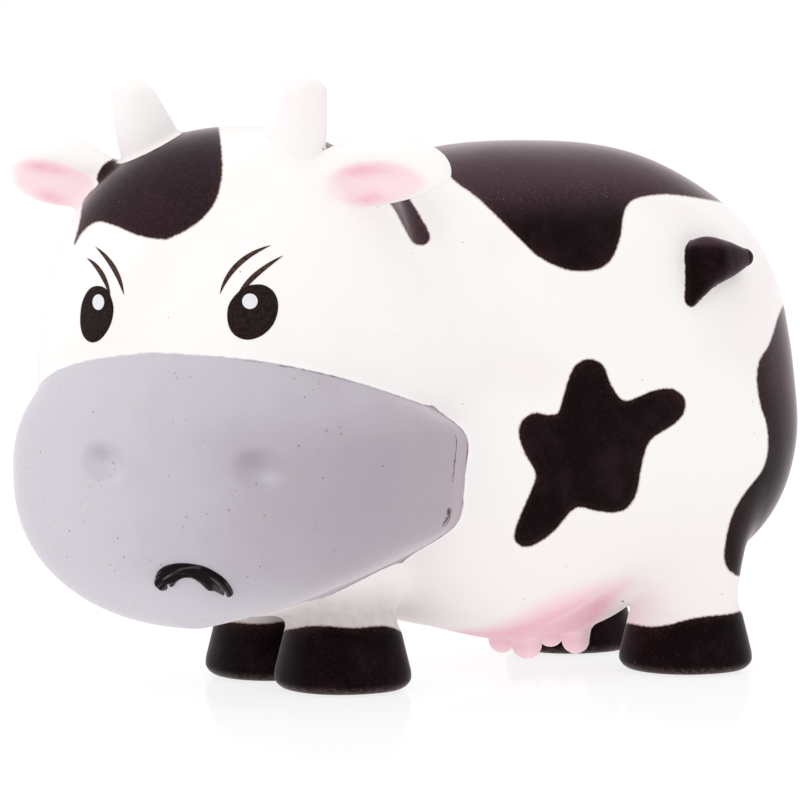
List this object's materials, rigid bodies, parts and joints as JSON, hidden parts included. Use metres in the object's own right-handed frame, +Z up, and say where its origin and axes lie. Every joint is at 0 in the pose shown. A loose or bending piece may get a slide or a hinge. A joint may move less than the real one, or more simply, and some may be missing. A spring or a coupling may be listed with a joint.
{
  "type": "cow stress ball",
  "caption": "Soft foam squeeze toy: a stout standing cow with an oversized grey muzzle, frowning face, short legs and painted black patches.",
  "frame": {"origin": "middle of the bounding box, on the floor that the soles stand on", "axes": "+Z up, the cow faces -Y, +X is the cow's left side; the head is turned 37 degrees to its left"},
  "size_m": [0.0542, 0.0958, 0.0687],
  "materials": {
    "white_foam": "matte painted foam",
    "grey_foam": "satin painted foam",
    "ear_foam": "matte painted foam",
    "pink_foam": "matte painted foam",
    "black_paint": "satin black paint on foam"
  },
  "bodies": {
    "root": {"body": "white_foam", "head": "white_foam", "muzzle": "grey_foam", "mouth": "black_paint", "eye_left": "black_paint", "horn_left": "white_foam", "ear_left": "ear_foam", "eye_right": "black_paint", "horn_right": "white_foam", "ear_right": "ear_foam", "leg_front_left": "white_foam", "hoof_front_left": "black_paint", "leg_front_right": "white_foam", "hoof_front_right": "black_paint", "leg_rear_left": "white_foam", "hoof_rear_left": "black_paint", "leg_rear_right": "white_foam", "hoof_rear_right": "black_paint", "udder": "pink_foam", "teat_front_left": "pink_foam", "teat_front_right": "pink_foam", "teat_rear_left": "pink_foam", "teat_rear_right": "pink_foam", "tail": "black_paint"}
  },
  "joints": []
}
